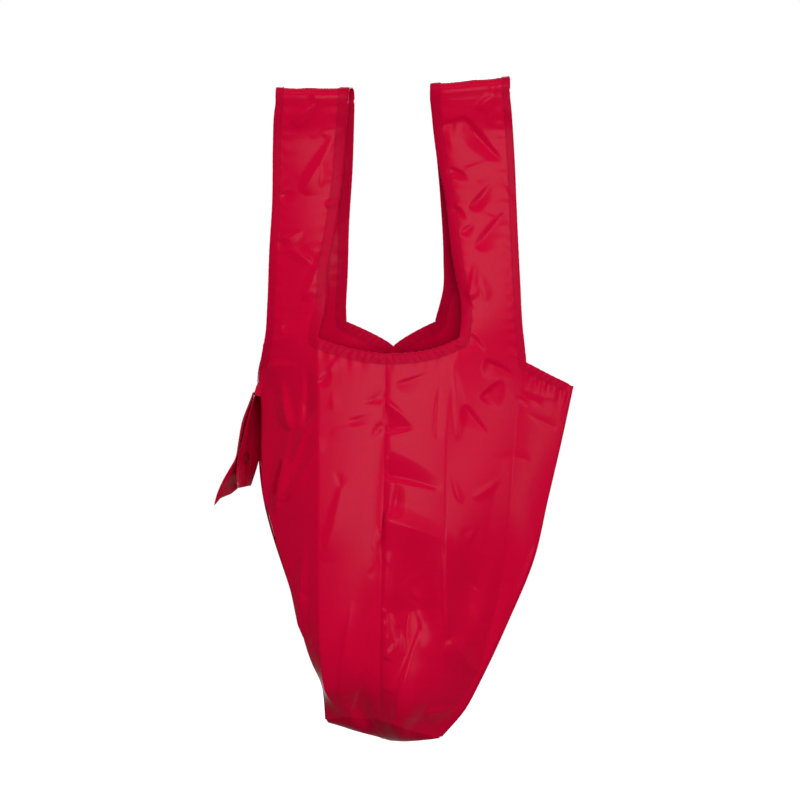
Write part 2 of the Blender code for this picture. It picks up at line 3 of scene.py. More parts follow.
import bpy
import numpy as np
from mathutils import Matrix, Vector


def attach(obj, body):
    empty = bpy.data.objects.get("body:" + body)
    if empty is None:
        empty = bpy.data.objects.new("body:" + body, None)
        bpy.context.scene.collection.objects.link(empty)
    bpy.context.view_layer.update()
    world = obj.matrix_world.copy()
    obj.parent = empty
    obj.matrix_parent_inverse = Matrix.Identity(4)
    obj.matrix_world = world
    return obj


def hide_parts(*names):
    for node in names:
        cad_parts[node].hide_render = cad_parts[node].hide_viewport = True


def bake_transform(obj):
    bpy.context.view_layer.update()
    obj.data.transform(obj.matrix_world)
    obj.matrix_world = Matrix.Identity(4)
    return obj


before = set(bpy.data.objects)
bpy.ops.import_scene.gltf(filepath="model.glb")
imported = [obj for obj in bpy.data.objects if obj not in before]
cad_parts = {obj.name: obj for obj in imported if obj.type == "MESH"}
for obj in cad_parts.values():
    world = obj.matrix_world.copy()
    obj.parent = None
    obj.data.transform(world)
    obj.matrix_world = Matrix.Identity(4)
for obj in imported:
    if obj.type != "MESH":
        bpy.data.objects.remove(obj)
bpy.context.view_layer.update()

# All shapes are worked out in millimetres and written to the meshes in metres
MM = 0.001

# Camera of the photograph: in front, a little above, far away
TARGET = (11.16, 0.0, -290.16)
DISTANCE = 4000.0
ELEVATION = math.radians(4.0)
FIELD = 744.0

# Thin nylon and the tape that binds its edges
CLOTH = 0.4
TAPE = 0.3
TAPE_GAP = 0.05
OUTER_TAPE = 6.8
INNER_TAPE = 9.5
NECK_TAPE = 9.5
SIDE_TAPE = 7.5
STITCH_LENGTH = 2.4
STITCH_PITCH = 3.3
STITCH_WIDTH = 0.65

# Heights on the cloth, downwards from the fold of the left handle
TIP = -277.0
BASE_TURN = -560.0
FLOOR = -595.0
LEFT_HEAD = -14.0
RIGHT_HEAD = (-10.3, -3.8)
FOLD_RISE = 14.0
FOLD_LEAN = 2.8
FOLD_LENGTH = 45.0
FOLD_LAP = 3.0
FOLD_PROUD = 0.1

# Width of each strap across the handle
STRAP_WIDTH = 66.0


# Pleat lines of the front, left seam to right seam: level, x as seen, depth
FRONT_LINES = [
    [(-277, -121, 44), (-383, -114, 36), (-476, -86, 24), (-560, -59, 10), (-595, -56.5, 3)],
    [
        (-14, -104, -14), (-26, -105.5, -12.2), (-42, -106.3, -9.2), (-60, -106.6, -8), (-104, -107, -8.8),
        (-151, -109.7, -10), (-202, -111.6, -10.5),
        (-230, -113.5, -8), (-244, -116, -4), (-272, -120, 4), (-290, -118.1, 3), (-337, -117.6, -1),
        (-369, -117.2, -4.5), (-383, -115.3, -6.5), (-397, -110.7, -9), (-425, -103.2, -15),
        (-481, -86.5, -25),
        (-537, -69.8, -28.5), (-551, -63.2, -26.5), (-565, -59.5, -22), (-595, -57, -8),
    ],
    [
        (-14, -37.5, -14), (-26, -38.5, -12), (-42, -39.9, -9.2), (-60, -41, -8.6), (-86, -43.2, -10.2),
        (-125, -48.8, -12.5),
        (-165, -55.8, -17),
        (-202, -58.6, -19), (-232.5, -65.6, -24), (-272, -65.1, -29.5), (-337, -65.1, -35.5),
        (-383, -65, -39.5),
        (-430, -65.1, -42), (-476, -64.6, -44.3), (-495, -64.2, -44.8), (-532, -62.3, -43.5),
        (-560, -59, -36.5),
        (-595, -42, -15),
    ],
    [
        (-247, -2, -29), (-276, -2.5, -31.5), (-337, -3.3, -37), (-383, -4.2, -41), (-439, -5.6, -44.8),
        (-476, -6.2, -46.6), (-513, -7, -47), (-560, -7.6, -39), (-595, -7.9, -20),
    ],
    [
        (-10, 39.5, -14), (-22, 40.9, -12), (-40, 42.7, -9), (-62, 45.6, -9), (-104, 53.9, -12),
        (-151, 59.5, -15.5),
        (-179, 64.2, -17.5), (-197, 67.9, -18.5), (-216, 68.8, -20.5), (-232.5, 67, -23),
        (-258, 62.3, -25), (-290, 56.7, -28),
        (-327, 53.9, -31), (-383, 53.4, -35), (-439, 53.9, -37.5), (-476, 54.4, -37), (-495, 54.9, -36),
        (-537, 52.1, -31), (-560, 48, -26.5), (-569, 45.6, -24), (-595, 25, -13),
    ],
    [
        (-4, 112.5, -14), (-18, 114, -11.8), (-38, 115.5, -8.2), (-67, 117.2, -8),
        (-132, 120, -11), (-188, 122.8, -13),
        (-216, 124.2, -13), (-244, 127, -11.5), (-256, 128, -10.5), (-276, 124, -10), (-318, 119, -10.5),
        (-365, 115.3, -12), (-420, 111.6, -12.5), (-467, 104.2, -11), (-513, 93, -9.5), (-551, 80, -8),
        (-560, 75, -7.5), (-595, 38, -6),
    ],
    [
        (-276, 171, 4), (-327, 160, 1), (-383, 147, -2), (-439, 133.9, -6), (-495, 110.7, -8),
        (-551, 84.6, -7), (-560, 80, -6), (-574.5, 69.8, -4), (-595, 47.4, 0),
    ],
]
FRONT_FEET = (-588, -588, -584.8, -587.8, -598.4, -602, -604.5)

# Pleat lines of the back
BACK_LINES = [
    FRONT_LINES[0],
    [
        (-14, -102, 14), (-104, -99, 14), (-197, -96, 14), (-223, -94, 19), (-276, -93, 26),
        (-383, -91, 30), (-476, -71, 26), (-560, -50, 14), (-595, -50, 8),
    ],
    [
        (-14, -31.6, 14), (-76, -33.5, 14), (-127, -36.7, 14.5), (-176, -38.1, 16), (-206, -39.5, 20),
        (-218, -39, 22), (-276, -40, 28), (-383, -45, 36), (-476, -37, 34), (-560, -28, 22), (-595, -26, 16),
    ],
    [(-241, 5, 37), (-276, 6, 38), (-383, 5, 40), (-476, 5, 38), (-560, 8, 28), (-595, 8, 20)],
    [
        (-10, 40, 14), (-104, 49.3, 14), (-160, 52.1, 14.5), (-188, 51.6, 16), (-202, 48.4, 18),
        (-214, 45.1, 21), (-276, 50, 28), (-383, 48, 34), (-476, 45, 30), (-560, 37, 20), (-595, 30, 13),
    ],
    [
        (-4, 113, 14), (-104, 110, 14), (-197, 107, 14), (-223, 110, 15), (-276, 112, 14),
        (-383, 109, 18), (-476, 86, 16), (-560, 60, 10), (-595, 41, 6),
    ],
    FRONT_LINES[6],
]
BACK_FEET = (-588, -589.5, -595.7, -604.5, -605, -605, -604.5)

# Creases seen on the front: start, end, height (below 0 is a valley), reach left and right of the way
FRONT_CREASES = [
    (-113, -260, -84, -258, 1.3, 12, 20),
    (-79, -316, -76, -257, -1.5, 9, 10),
    (-91, -318, -98, -270, 1.8, 20, 5),
    (-105, -396, -91, -318, 1.8, 22, 5),
    (-102, -383, -67, -301, 1.7, 22, 5),
    (-97, -385, -65, -335, 1.4, 20, 5),
    (-82, -513, -77, -425, 1.4, 22, 5),
    (-66, -275, -54, -263, -0.7, 5, 6),
    (-3, -287, -25, -293, -0.8, 8, 7),
    (-4, -314, -18, -331, -0.8, 5, 5),
    (-54, -320, -4, -313, 0.2, 9, 9),
    (-61, -439, -40, -355, 0.5, 15, 17),
    (-45, -569, -33, -476, 0.9, 11, 13),
    (-33, -584, -20, -532, -0.8, 8, 8),
    (-2, -292, 25, -316, 0.7, 9, 9),
    (-3, -317, 26, -315, -1.9, 52, 4),
    (-4, -360, 50, -374, -2.5, 48, 4),
    (3, -399, 9, -362, -1.2, 8, 9),
    (-4, -401, 60, -424, 1.8, 40, 22),
    (-3, -488, 58, -482, -1.1, 38, 38),
    (-2, -530, 12, -513, 0.8, 7, 7),
    (-2, -560, 9, -543, 0.7, 7, 7),
    (5, -586, 33, -494, 1.8, 12, 26),
    (57, -513, 85, -545, 1.8, 28, 15),
    (34, -581, 70, -577, 1.2, 8, 13),
    (110, -460, 114, -340, 0.6, 40, 22),
    (54, -513, 51, -420, 0.9, 5, 7),
    (72, -295, 93, -321, -0.9, 6, 9),
    (90, -254, 116, -267, -1.2, 7, 11),
    (86, -289, 105, -271, -1.0, 7, 13),
    (45, -327, 48, -276, -0.5, 5, 6),
    (65, -327, 59, -253, 0.6, 7, 7),
    (123, -476, 138, -425, 1.0, 13, 8),
    (7, -276, 39, -264, -0.5, 7, 9),
    (-91, -32, -56, -7, 1.0, 8, 10),
    (-80, -97, -46, -36, 1.3, 17, 15),
    (-100, -100, -85, -97, -0.6, 5, 7),
    (-100, -141, -79, -132, 0.7, 7, 7),
    (-92, -149, -67, -166, 0.9, 6, 7),
    (-79, -197, -61, -151, 0.9, 13, 13),
    (-98, -225, -70, -190, -1.0, 11, 11),
    (-50, -81, -41, -74, 0.4, 5, 5),
    (-58, -109, -46, -103, 0.5, 6, 6),
    (69, -26, 109, -71, -1.5, 10, 11),
    (49, -36, 74, -29, -0.9, 7, 8),
    (82, -19, 101, 0, 0.9, 7, 8),
    (56, -74, 75, -85, -0.8, 5, 7),
    (76, -112, 97, -86, -1.0, 7, 8),
    (60, -110, 73, -122, -0.8, 5, 6),
    (67, -135, 80, -125, -0.7, 5, 6),
    (82, -149, 112, -112, -1.1, 8, 11),
    (74, -197, 80, -162, 0.8, 8, 8),
    (76, -228, 89, -245, -0.8, 5, 7),
    (69, -188, 81, -208, -0.6, 6, 7),
]

# Large soft swellings of the front: column, level, half width and half height, height
FRONT_BULGES = [
    (3.5, -590, 0.55, 62, 13.0),
    (3.5, -478, 0.5, 70, -9.5),
    (4.4, -470, 0.42, 52, -4.5),
    (2.6, -592, 0.42, 50, -8.0),
    (2.85, -545, 0.4, 110, -3.5),
]

# Creases of the back, which the photograph doesn't show
BACK_CREASES = [
    (-88, -262, -40, -300, 1.2, 14, 16),
    (-80, -330, -50, -420, -1.3, 13, 15),
    (-60, -470, -30, -360, 1.4, 15, 18),
    (4, -330, -38, -390, -1.2, 15, 14),
    (8, -290, 46, -350, 1.3, 16, 18),
    (10, -420, 44, -370, -1.3, 14, 16),
    (12, -560, 30, -450, 1.2, 13, 15),
    (-30, -570, -10, -480, -1.0, 12, 14),
    (60, -300, 104, -330, 1.2, 13, 15),
    (70, -420, 100, -350, -1.2, 14, 14),
    (60, -520, 84, -440, 1.1, 12, 14),
    (-90, -40, -50, -90, 1.0, 12, 14),
    (-84, -170, -52, -120, -1.0, 12, 13),
    (58, -60, 100, -110, -1.1, 12, 13),
    (64, -190, 98, -140, 1.0, 12, 13),
]


def smooth(start, end, x):
    """0 before start, 1 after end, with a soft change between."""
    t = np.clip((x - start) / (end - start), 0.0, 1.0)
    return t * t * (3 - 2 * t)


def unit(v):
    """Vectors scaled to length 1."""
    return v / np.maximum(np.linalg.norm(v, axis=-1, keepdims=True), 1e-9)


def run_of(points):
    """Distance along a line of points, from its start to each of them."""
    return np.concatenate([[0], np.cumsum(np.linalg.norm(np.diff(points, axis=0), axis=1))])


def seen(x, h, y):
    """World places of points seen at (x, h) in the picture plane, at depth y."""
    rise, run = math.sin(ELEVATION), math.cos(ELEVATION)
    q = (h - TARGET[2]) / DISTANCE
    z = (q * (DISTANCE + y * run) - y * rise) / (run + q * rise)
    scale = 1 + (y * run - z * rise) / DISTANCE
    return np.stack([TARGET[0] + (x - TARGET[0]) * scale, y + 0 * x, z + TARGET[2]], axis=-1)


def through(knots, level):
    """Values of a smooth line through knots (level, values), held beyond its ends."""
    table = np.array(knots, float)
    way = -table[:, 0]
    values = table[:, 1:]
    slope = np.gradient(values, way, axis=0)
    at = np.clip(-level, way[0], way[-1])
    i = np.clip(np.searchsorted(way, at, side="right") - 1, 0, len(way) - 2)
    span = (way[i + 1] - way[i])[..., None]
    t = (at - way[i])[..., None] / span
    start = (1 + 2 * t) * (1 - t) ** 2 * values[i] + t * (1 - t) ** 2 * span * slope[i]
    end = t ** 2 * (3 - 2 * t) * values[i + 1] + t ** 2 * (t - 1) * span * slope[i + 1]
    return start + end


# Creases stand this much higher than they were read
CREASE_SHARE = 1.8

# Each crease has a steep side and a gentle one
STEEP = 0.5
GENTLE = 1.35

# Short creases bow sideways by this share of their length, and all are highest before their middle
BOW = 0.04
SKEW = 0.6

# Creases that start at the centre seam are highest there
SEAM_X = -3.0


def relief(creases, x, h):
    """Height of crease lines over the smooth cloth: sharp along each line, soft at its foot."""
    total = np.zeros_like(x)
    low = (x.min(), h.min())
    high = (x.max(), h.max())
    for i, (x0, h0, x1, h1, height, left, right) in enumerate(creases):
        reach = max(left, right)
        if max(x0, x1) + reach < low[0] or min(x0, x1) - reach > high[0]:
            continue
        if max(h0, h1) + reach < low[1] or min(h0, h1) - reach > high[1]:
            continue
        dx, dh = x1 - x0, h1 - h0
        length = math.hypot(dx, dh)
        along = ((x - x0) * dx + (h - h0) * dh) / length ** 2
        across = ((h - h0) * dx - (x - x0) * dh) / length
        inside = np.clip(along, 0, 1)
        across = across + (1 if i % 2 else -1) * BOW * min(length, 30) * 4 * inside * (1 - inside)
        taper = 1 - np.abs(2 * inside ** SKEW - 1) ** 1.8
        if abs(x0 - SEAM_X) < 2.5:
            taper = np.where(along > 0, 1 - inside ** 1.3, 0)
        reach = np.where(across > 0, left * STEEP, right * GENTLE) * (0.35 + 0.65 * taper)
        total += CREASE_SHARE * height * taper * np.clip(1 - np.abs(across) / reach, 0, 1) ** 1.2
    return total


def crumples(seed, count):
    """Small scattered creases from handling."""
    rng = np.random.default_rng(seed)
    lines = []
    for _ in range(count):
        x, h = rng.uniform(-120, 150), rng.uniform(-590, 0)
        turn = rng.uniform(0, math.pi)
        half = rng.uniform(6, 18)
        height = rng.choice((-1, 1)) * rng.uniform(0.12, 0.4)
        dx, dh = half * math.cos(turn), half * math.sin(turn)
        lines.append((x - dx, h - dh, x + dx, h + dh, height, rng.uniform(4, 8), rng.uniform(4, 8)))
    return lines


def uneven(s, pitch, seed):
    """Phase of gathers of about that pitch along a seam, never quite regular."""
    drift = 0.55 * np.sin(s / 13.7 + seed) + 0.35 * np.sin(s / 5.9 + 2.1 * seed)
    return 2 * math.pi * s / pitch + 1.6 * drift


# How far the inner edge of the left and the right strap curls back
STRAP_CURL = (1.0, 3.5)


class Face:
    """Front or back of the bag: cloth over seven pleat lines, u 0 at the left seam to 6 at the right."""

    def __init__(self, lines, feet, facing, neck, shoulders, swell, strap_swell, creases, bulges, seed):
        self.lines = lines
        self.feet = feet
        self.facing = facing
        self.corner, self.dip, self.left_power, self.right_power = neck
        self.shoulders = shoulders
        self.swell = np.array(swell)
        self.strap_swell = strap_swell
        self.bulges = bulges
        self.creases = creases + crumples(seed, 110)
        self.seed = seed

    def shoulder(self, u):
        """Level where a strap joins the body, from its outer edge to the neck corner."""
        v = np.minimum(u, 6 - u)
        outer = np.where(u > 3, self.shoulders[1], self.shoulders[0])
        return outer + (self.corner - outer) * np.clip(v - 1, 0, 1)

    def top(self, u):
        """Level of the upper edge of the body."""
        v = np.minimum(u, 6 - u)
        armhole = TIP + (self.shoulder(u) - TIP) * np.clip(v, 0, 1)
        power = np.where(u > 3, self.right_power, self.left_power)
        neck = self.dip + (self.corner - self.dip) * np.clip(3 - v, 0, 1) ** power
        return np.where(v < 2, armhole, neck)

    def lines_at(self, level):
        """The seven lines at a level: x and height as seen, and depth."""
        lines = np.stack([through(line, level) for line in self.lines])
        feet = np.array(self.feet).reshape((7,) + (1,) * level.ndim)
        below = np.clip((BASE_TURN - level) / (BASE_TURN - FLOOR), 0, None)
        height = np.where(level > BASE_TURN, level, BASE_TURN + (feet - BASE_TURN) * below)
        return np.stack([lines[..., 0], height, lines[..., 1]], axis=-1)

    def place(self, lines, u, level):
        """Smooth cloth between the lines, swelling between pleats and rolled in at the centre seam."""
        k = np.clip(u.astype(int), 0, 5)
        f = u - k
        first = np.take_along_axis(lines, k[None, ..., None], axis=0)[0]
        second = np.take_along_axis(lines, k[None, ..., None] + 1, axis=0)[0]
        middle = first + (second - first) * f[..., None]
        body = smooth(-225, -300, level) * smooth(FLOOR, -520, level)
        strap = np.where(u > 3, self.strap_swell[1], self.strap_swell[0]) * smooth(-240, -200, level)
        middle[..., 2] += self.facing * (self.swell[k] * body + strap) * 4 * f * (1 - f)
        for column, high, wide, tall, height in self.bulges:
            side = np.cos(np.clip(np.abs(u - column) / wide, 0, 1) * math.pi / 2) ** 2
            rise = np.cos(np.clip(np.abs(level - high) / tall, 0, 1) * math.pi / 2) ** 2
            middle[..., 2] += self.facing * height * side * rise
        curl = np.where(u > 3, STRAP_CURL[1], STRAP_CURL[0]) * smooth(-238, -205, level)
        middle[..., 2] -= self.facing * curl * np.exp(-np.abs(np.minimum(u, 6 - u) - 2) / 0.1)
        reach = np.where(u < 3, 0.13, 0.06)
        roll = 1.4 * smooth(-246, -262, level) + 1.6 * smooth(-300, -400, level)
        roll = roll * smooth(FLOOR, -575, level)
        middle[..., 2] -= self.facing * roll * np.exp(-np.abs(u - 3) / reach)
        return middle

    def puckers(self, u, level):
        """Small ripples beside the bound edges."""
        v = np.minimum(u, 6 - u)
        down = self.top(u) - level
        strap = (v > 1) & (v < 2) & (level > self.shoulder(u))
        side = np.minimum(v - 1, 2 - v) * STRAP_WIDTH
        gap = np.where(strap, side, down)
        along = np.where(strap, level + 40 * (v > 1.5), u * 62)
        size = np.where(strap, 0.22, np.where(v > 2, 0.25, 0.35))
        near = smooth(5, 10, gap) * np.exp(-np.clip(gap - 9, 0, None) / 7)
        open_edge = strap | (v < 1) | (v > 2)
        return np.where(open_edge, size * near * np.sin(uneven(along, 12, self.seed)), 0)

    def surface(self, u, level):
        """World places and outward directions of the creased cloth."""
        u, level = np.broadcast_arrays(np.asarray(u, float), np.asarray(level, float))
        lines = self.lines_at(level)
        place = self.place(lines, u, level)

        def at(du, dl):
            near = self.lines_at(level + dl) if dl else lines
            p = self.place(near, np.clip(u + du, 0, 6), level + dl)
            return seen(p[..., 0], p[..., 1], p[..., 2])

        point = seen(place[..., 0], place[..., 1], place[..., 2])
        normal = unit(-self.facing * np.cross(at(0.02, 0) - at(-0.02, 0), at(0, 1.0) - at(0, -1.0)))
        fade = smooth(0, 0.06, np.minimum(u, 6 - u)) * smooth(FLOOR, FLOOR + 8, level)
        fade = fade * np.where(level < self.corner, smooth(0, 0.05, np.abs(u - 3)), 1)
        height = fade * (relief(self.creases, place[..., 0], place[..., 1]) + self.puckers(u, level))
        return point + normal * height[..., None], normal


FRONT = Face(
    FRONT_LINES, FRONT_FEET, -1, (-232.5, -247.6, 1.8, 2.9), (-252.0, -255.5),
    (-2.5, 0.8, 0.6, 0.8, 0.8, 0.8), (1.2, 0.8), FRONT_CREASES, FRONT_BULGES, 3,
)
BACK = Face(
    BACK_LINES, BACK_FEET, 1, (-217.6, -241.0, 0.8, 0.8), (-250.0, -250.0),
    (2.0, 2.0, 2.0, 2.0, 2.0, 2.0), (0.8, 0.8), BACK_CREASES, [], 8,
)


def head(u):
    """Level where a strap turns into its fold."""
    right = RIGHT_HEAD[0] + (RIGHT_HEAD[1] - RIGHT_HEAD[0]) * (u - 4)
    return np.where(u > 3, right, LEFT_HEAD)


class Fold:
    """Top of a handle, from the head of its front leg over to the head of its back leg."""

    def __init__(self, left):
        self.left = left

    def column(self, a):
        """u on the faces of a place across the handle, 0 at its outer edge."""
        return 1 + a if self.left else 5 - a

    def surface(self, a, b):
        a, b = np.broadcast_arrays(np.asarray(a, float), np.asarray(b, float))

        def at(a, b):
            u = self.column(np.clip(a, 0, 1))
            front = FRONT.surface(u, head(u))[0]
            back = BACK.surface(u, head(u))[0]
            turn = np.clip(b, 0, 1) * math.pi
            below = FRONT.surface(u, head(u) + np.minimum(b, 0) * FOLD_LENGTH)[0]
            run = np.sign(np.cos(turn)) * np.abs(np.cos(turn)) ** 0.62
            lift = np.abs(np.sin(turn)) ** 0.62
            point = (front + back) / 2 + (front - back) / 2 * run[..., None]
            point[..., 1] -= FOLD_LEAN * lift * np.clip(run, 0, 1)
            point[..., 2] += FOLD_RISE * lift + 0.3 * np.sin(uneven(60 * a, 23, 1)) * lift
            return np.where(b[..., None] < 0, below, point)

        across = at(a + 0.02, b) - at(a - 0.02, b)
        over = at(a, b + 0.02) - at(a, b - 0.02)
        normal = unit(np.cross(across, over) * (1 if self.left else -1))
        return at(a, b), normal


# Materials

def node(tree, kind, **values):
    """A shader node with its settings."""
    item = tree.nodes.new(kind)
    for key, value in values.items():
        setattr(item, key, value)
    return item


def noise(tree, place, scale, detail, rough=0.5, distortion=0.0):
    """Noise stretched by a scale per axis, in waves per metre."""
    stretch = node(tree, "ShaderNodeMapping")
    stretch.inputs["Scale"].default_value = scale
    tree.links.new(place, stretch.inputs["Vector"])
    item = node(tree, "ShaderNodeTexNoise")
    item.inputs["Scale"].default_value = 1.0
    item.inputs["Detail"].default_value = detail
    item.inputs["Roughness"].default_value = rough
    item.inputs["Distortion"].default_value = distortion
    tree.links.new(stretch.outputs["Vector"], item.inputs["Vector"])
    return item.outputs["Fac"]


def mixed(tree, a, b, kind, factor=None):
    """Two numbers put together by a math node."""
    item = node(tree, "ShaderNodeMath", operation=kind)
    for slot, value in zip(item.inputs, (a, b, factor)):
        if value is None:
            continue
        if isinstance(value, (int, float)):
            slot.default_value = value
        else:
            tree.links.new(value, slot)
    return item.outputs[0]


def ranged(tree, value, low, high):
    """A noise spread over a range of values."""
    item = node(tree, "ShaderNodeMapRange")
    item.inputs["From Min"].default_value = 0.3
    item.inputs["From Max"].default_value = 0.7
    item.inputs["To Min"].default_value = low
    item.inputs["To Max"].default_value = high
    tree.links.new(value, item.inputs["Value"])
    return item.outputs["Result"]


def tinted(tree, value, low, high):
    """A noise turned into a colour between two others."""
    item = node(tree, "ShaderNodeMix", data_type="RGBA")
    item.inputs[6].default_value = (*low, 1)
    item.inputs[7].default_value = (*high, 1)
    tree.links.new(ranged(tree, value, 0, 1), item.inputs[0])
    return item.outputs[2]


def shader(name):
    """A new material's node tree and its principled shader."""
    material = bpy.data.materials.new(name)
    material.use_nodes = True
    return material, material.node_tree, material.node_tree.nodes["Principled BSDF"]


def bumped(tree, body, height, strength, distance):
    """Lets a height roughen a surface, with its distance in metres."""
    bump = node(tree, "ShaderNodeBump")
    bump.inputs["Strength"].default_value = strength
    bump.inputs["Distance"].default_value = distance
    tree.links.new(height, bump.inputs["Height"])
    tree.links.new(bump.outputs["Normal"], body.inputs["Normal"])


def nylon(name, low, high, rough, specular, crinkle):
    """Shiny woven nylon: streaky weft, finer warp, small crinkles and uneven gloss."""
    material, tree, body = shader(name)
    place = node(tree, "ShaderNodeUVMap", uv_map="Cloth").outputs["UV"]
    weft = noise(tree, place, (30, 1100, 1), 2.0)
    warp = noise(tree, place, (1300, 60, 1), 2.0)
    slub = noise(tree, place, (9, 260, 1), 3.0)
    wear = noise(tree, place, (14, 11, 1), 4.0, 0.55, 0.4)
    dents = noise(tree, place, (70, 55, 1), 3.0, 0.5, 0.8)
    thread = mixed(tree, mixed(tree, weft, warp, "ADD"), slub, "ADD")
    weave = mixed(tree, thread, 0.10, "MULTIPLY")
    height = mixed(tree, weave, mixed(tree, dents, crinkle, "MULTIPLY"), "ADD")
    bumped(tree, body, height, 0.3, 0.0006)
    tone = mixed(tree, mixed(tree, wear, 0.7, "MULTIPLY"), mixed(tree, slub, 0.3, "MULTIPLY"), "ADD")
    tree.links.new(tinted(tree, tone, low, high), body.inputs["Base Color"])
    tree.links.new(ranged(tree, wear, rough[0], rough[1]), body.inputs["Roughness"])
    body.inputs["Specular IOR Level"].default_value = specular
    body.inputs["Sheen Weight"].default_value = 0.01
    body.inputs["Sheen Roughness"].default_value = 0.4
    body.inputs["Sheen Tint"].default_value = (1.0, 0.25, 0.3, 1)
    return material


def thread_finish(name, low, high):
    """Twisted sewing thread."""
    material, tree, body = shader(name)
    place = node(tree, "ShaderNodeTexCoord").outputs["Generated"]
    twist = noise(tree, place, (400, 400, 400), 2.0)
    tree.links.new(tinted(tree, twist, low, high), body.inputs["Base Color"])
    tree.links.new(ranged(tree, twist, 0.5, 0.7), body.inputs["Roughness"])
    body.inputs["Specular IOR Level"].default_value = 0.15
    return material


def snap_finish(name):
    """Moulded snap fastener with a satin, slightly scuffed face."""
    material, tree, body = shader(name)
    place = node(tree, "ShaderNodeTexCoord").outputs["Object"]
    scuff = noise(tree, place, (900, 900, 900), 4.0, 0.6)
    tree.links.new(tinted(tree, scuff, (0.20, 0.002, 0.010), (0.30, 0.006, 0.02)), body.inputs["Base Color"])
    tree.links.new(ranged(tree, scuff, 0.25, 0.42), body.inputs["Roughness"])
    bumped(tree, body, scuff, 0.15, 0.0003)
    body.inputs["Specular IOR Level"].default_value = 0.4
    return material


RED = nylon("red nylon", (0.442, 0.0004, 0.024), (0.49, 0.0006, 0.028), (0.18, 0.25), 0.024, 0.4)
# The binding red is darker than the body cloth; on the base halves it is painted shade of the underside.
BINDING_AND_BASE_SHADE = nylon("binding tape and painted base shade", (0.37, 0.0004, 0.021), (0.43, 0.0006, 0.026), (0.28, 0.38), 0.016, 0.3)
BAND = nylon("closure nylon", (0.45, 0.0004, 0.024), (0.51, 0.0006, 0.028), (0.24, 0.32), 0.003, 0.3)
THREAD = thread_finish("sewing thread", (0.22, 0.001, 0.014), (0.34, 0.003, 0.025))
SNAP = snap_finish("moulded snap")


# Meshes

# Edges bent more than this are shaded as corners
SHARP_ANGLE = math.radians(62)


def piece(name, points, faces, uv, materials, second=()):
    """A mesh object from places in millimetres, with a cloth map in metres."""
    mesh = bpy.data.meshes.new(name)
    mesh.from_pydata((np.asarray(points) * MM).tolist(), [], faces)
    layer = mesh.uv_layers.new(name="Cloth")
    corners = np.empty(len(mesh.loops), dtype=np.int32)
    mesh.loops.foreach_get("vertex_index", corners)
    layer.data.foreach_set("uv", (np.asarray(uv)[corners] * MM).astype(np.float32).ravel())
    for material in materials:
        mesh.materials.append(material)
    for i in second:
        mesh.polygons[i].material_index = 1
    mesh.shade_smooth()
    mesh.set_sharp_from_angle(angle=SHARP_ANGLE)
    item = bpy.data.objects.new(name, mesh)
    bpy.context.scene.collection.objects.link(item)
    return item


def thicken(item, thickness):
    """Gives a single layer of cloth its thickness."""
    shell = item.modifiers.new("Thickness", "SOLIDIFY")
    shell.thickness = thickness * MM
    shell.offset = 0
    bpy.context.view_layer.update()
    solid = bpy.data.meshes.new_from_object(item.evaluated_get(bpy.context.evaluated_depsgraph_get()))
    solid.set_sharp_from_angle(angle=SHARP_ANGLE)
    item.modifiers.clear()
    item.data = solid
    solid.name = item.name


def grid_faces(rows, columns, start=0, flip=False):
    """Quads of a grid of points, row by row."""
    r, c = np.meshgrid(np.arange(rows - 1), np.arange(columns - 1), indexing="ij")
    first = start + r * columns + c
    quads = np.stack([first, first + columns, first + columns + 1, first + 1], axis=-1).reshape(-1, 4)
    if flip:
        quads = quads[:, ::-1]
    return quads.tolist()


def tube_faces(rows, columns, flip=False):
    """Quads round a tube of points, row by row."""
    faces = []
    for r in range(rows - 1):
        for c in range(columns):
            d = (c + 1) % columns
            quad = [r * columns + c, r * columns + d, (r + 1) * columns + d, (r + 1) * columns + c]
            faces.append(quad[::-1] if flip else quad)
    return faces


def grid_map(s, around):
    """Cloth map of a grid from the distances along its two ways."""
    return np.stack(np.broadcast_arrays(s[:, None], around[None, :]), axis=-1).reshape(-1, 2)


# Flat cloth across the strips, for the weave
FLAT = np.array([0, 56, 118, 182, 246, 308, 366], float)


def quarter(name, face, left, cell):
    """Half of a face in one cloth: side strip, strap with its leg, and neck strip."""
    count = round(62 / cell)
    across = np.linspace(0, 1, count + 1)
    depth = np.linspace(0, 1, round(350 / cell) + 1)[:, None]
    v = np.concatenate([across, 1 + across[1:], 2 + across[1:]])[None, :] + 0 * depth
    u = v if left else 6 - v
    level = face.top(u) * (1 - depth) + FLOOR * depth
    body = face.surface(u, level)[0]
    rise = np.linspace(0, 1, round(225 / cell) + 1)[:-1, None]
    strap_u = u[:1, count:2 * count + 1] + 0 * rise
    strap_level = head(strap_u) * (1 - rise) + face.shoulder(strap_u) * rise
    strap = face.surface(strap_u, strap_level)[0]
    points = np.concatenate([body.reshape(-1, 3), strap.reshape(-1, 3)])
    flat_u = np.concatenate([u.ravel(), strap_u.ravel()])
    flat_level = np.concatenate([level.ravel(), strap_level.ravel()])
    uv = np.stack([np.interp(flat_u, np.arange(7), FLAT), flat_level], axis=-1)
    flip = left == (face.facing > 0)
    faces = grid_faces(body.shape[0], body.shape[1], 0, flip)
    start = body.shape[0] * body.shape[1]
    faces += grid_faces(strap.shape[0], strap.shape[1], start, flip)
    last = start + (strap.shape[0] - 1) * strap.shape[1]
    for c in range(count):
        quad = [last + c, count + c, count + c + 1, last + c + 1]
        faces.append(quad[::-1] if flip else quad)
    item = piece(name, points, faces, uv, [RED])
    thicken(item, CLOTH)
    return item


